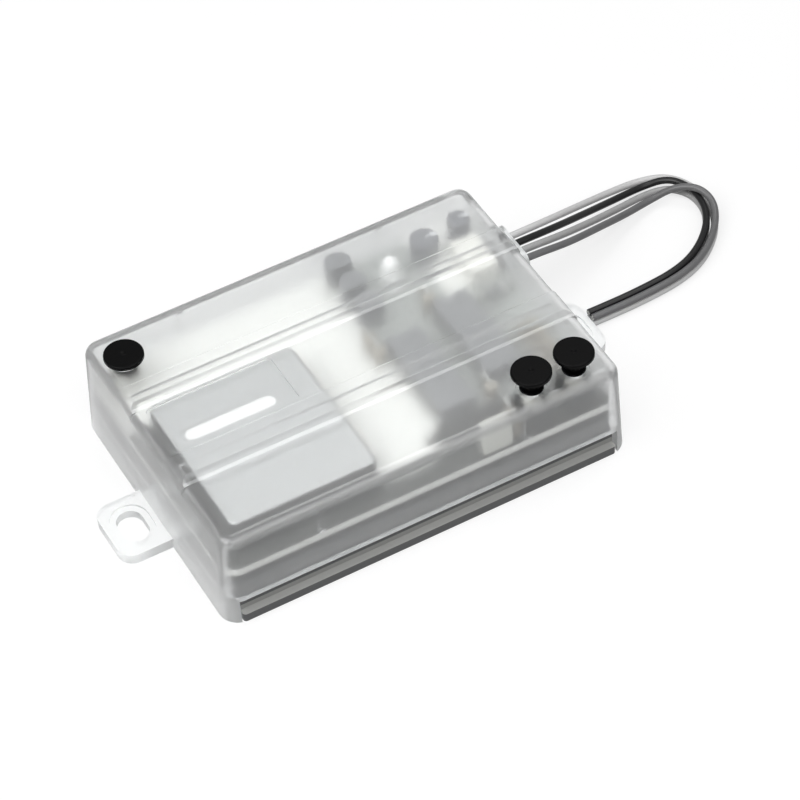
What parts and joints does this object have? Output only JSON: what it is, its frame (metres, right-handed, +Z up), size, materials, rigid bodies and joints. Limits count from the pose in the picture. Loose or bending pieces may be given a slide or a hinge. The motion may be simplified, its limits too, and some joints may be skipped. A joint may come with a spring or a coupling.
{
  "type": "car alarm proximity sensor",
  "caption": "Car alarm proximity sensor: frosted clip-on cover with slotted ears over a black base, trimmer plugs and a loop of hook-up leads.",
  "frame": {"origin": "middle of the base's underside, on the surface that the sensor rests or is fixed on", "axes": "+X towards the end wall with the leads, +Y to the rear long side, +Z up out of the roof"},
  "size_m": [0.1281, 0.0544, 0.0227],
  "materials": {
    "frosted_cover": "satin",
    "black_abs": "satin",
    "pale_laminate": "satin",
    "tinned_steel": "satin",
    "white_film": "matte",
    "resonator_ceramic": "matte",
    "black_epoxy": "matte",
    "trimmer_case": "satin",
    "trimmer_rotor": "satin",
    "black_rubber": "satin",
    "header_nylon": "satin",
    "tinned_pins": "bright",
    "led_lens": "gloss",
    "capacitor_sleeve": "gloss",
    "film_case": "satin",
    "choke_lacquer": "satin",
    "resistor_lacquer": "satin",
    "light_grey_pvc": "satin",
    "black_pvc": "satin",
    "mid_grey_pvc": "satin",
    "dark_grey_pvc": "satin"
  },
  "bodies": {
    "sensor": {"cover": "frosted_cover", "base": "black_abs", "main_board": "pale_laminate", "shield_can": "tinned_steel", "slot_window": "white_film", "dielectric_resonator": "resonator_ceramic", "oscillator_transistor": "black_epoxy", "factory_trimmer_body": "trimmer_case", "outer_zone_trimmer_body": "trimmer_case", "inner_zone_trimmer_body": "trimmer_case", "factory_hole_plug": "black_rubber", "outer_zone_hole_plug": "black_rubber", "inner_zone_hole_plug": "black_rubber", "wire_header": "header_nylon", "header_pins": "tinned_pins", "indicator_led": "led_lens", "amplifier_chip": "black_epoxy", "controller_chip": "black_epoxy", "voltage_regulator": "black_epoxy", "output_transistors": "black_epoxy", "supply_capacitor": "capacitor_sleeve", "timing_capacitor": "capacitor_sleeve", "film_capacitor": "film_case", "supply_choke": "choke_lacquer", "flat_resistors": "resistor_lacquer", "standing_resistors": "resistor_lacquer", "reverse_diode": "black_epoxy", "lead_light_grey": "light_grey_pvc", "lead_black": "black_pvc", "lead_mid_grey": "mid_grey_pvc", "lead_dark_grey": "dark_grey_pvc"},
    "factory_rotor": {"factory_trimmer_rotor": "trimmer_rotor"},
    "outer_zone_rotor": {"outer_zone_trimmer_rotor": "trimmer_rotor"},
    "inner_zone_rotor": {"inner_zone_trimmer_rotor": "trimmer_rotor"}
  },
  "joints": [
    {"name": "factory_trim", "type": "hinge", "parent": "sensor", "child": "factory_rotor", "pos_m": [-0.0323, 0.0188, 0.0143], "axis": [0, 0, 1], "range_deg": [-135, 135]},
    {"name": "outer_zone_trim", "type": "hinge", "parent": "sensor", "child": "outer_zone_rotor", "pos_m": [0.0221, -0.0219, 0.0143], "axis": [0, 0, 1], "range_deg": [-135, 135]},
    {"name": "inner_zone_trim", "type": "hinge", "parent": "sensor", "child": "inner_zone_rotor", "pos_m": [0.0302, -0.0219, 0.0143], "axis": [0, 0, 1], "range_deg": [-135, 135]}
  ]
}
